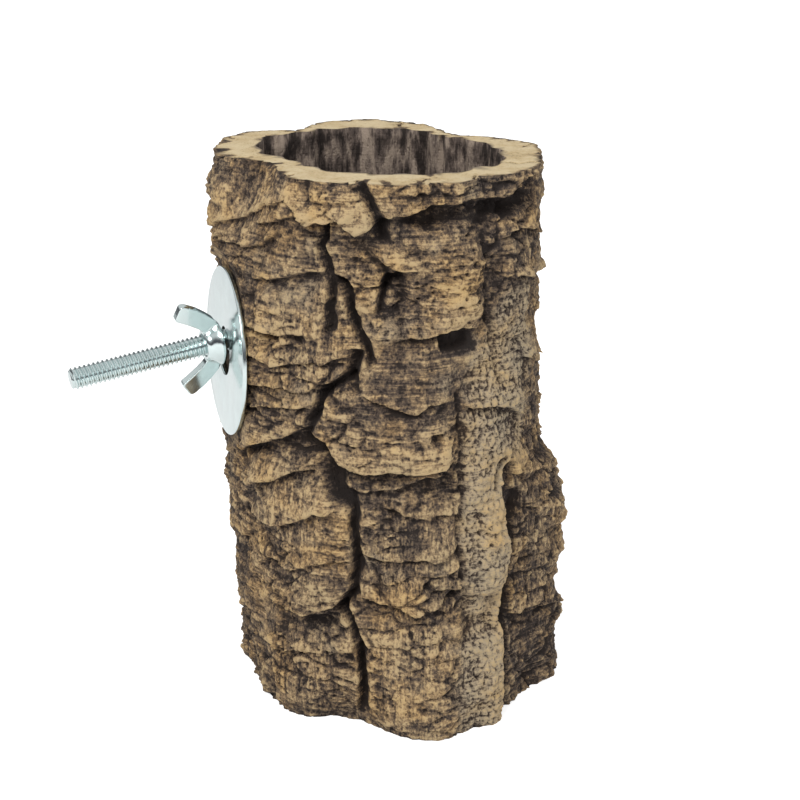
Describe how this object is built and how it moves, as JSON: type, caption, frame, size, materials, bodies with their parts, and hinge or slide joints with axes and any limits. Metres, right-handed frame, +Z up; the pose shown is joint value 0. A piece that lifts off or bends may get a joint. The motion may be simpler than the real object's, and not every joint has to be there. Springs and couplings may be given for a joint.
{
  "type": "cork branch",
  "caption": "Hollow piece of rough cork branch standing on its sawn base, with a screw clamp of bolt, wide washer and wing nut through its side.",
  "frame": {"origin": "middle of the whole object's box, on the sawn base that it stands on", "axes": "+Z up along the tube; -X is the side that the clamp bolt sticks out of"},
  "size_m": [0.1406, 0.0998, 0.155],
  "materials": {
    "cork": "rough virgin cork bark, golden tan plates with dark cracks, pale sawn ends",
    "bolt_zinc": "bright zinc plated, threaded",
    "washer_zinc": "bright zinc plated, polished flat faces",
    "nut_zinc": "bright zinc plated, smooth cast wings"
  },
  "bodies": {
    "root": {"cork_tube": "cork", "bolt": "bolt_zinc", "inner_washer": "washer_zinc"},
    "washer": {"clamp_washer": "washer_zinc"},
    "nut": {"wing_nut": "nut_zinc"}
  },
  "joints": [
    {"name": "washer_travel", "type": "slide", "parent": "root", "child": "washer", "axis": [-0.9778, -0.1549, -0.1409], "range_m": [0, 0.03]},
    {"name": "wing_nut_turn", "type": "hinge", "parent": "washer", "child": "nut", "pos_m": [-0.02638, 0.0021, 0.1036], "axis": [-0.9778, -0.1549, -0.1409], "range_deg": [0, 8510]}
  ],
  "couplings": [
    {"joint": "wing_nut_turn", "follows": "washer_travel", "rad_per_m": 4947.4}
  ]
}
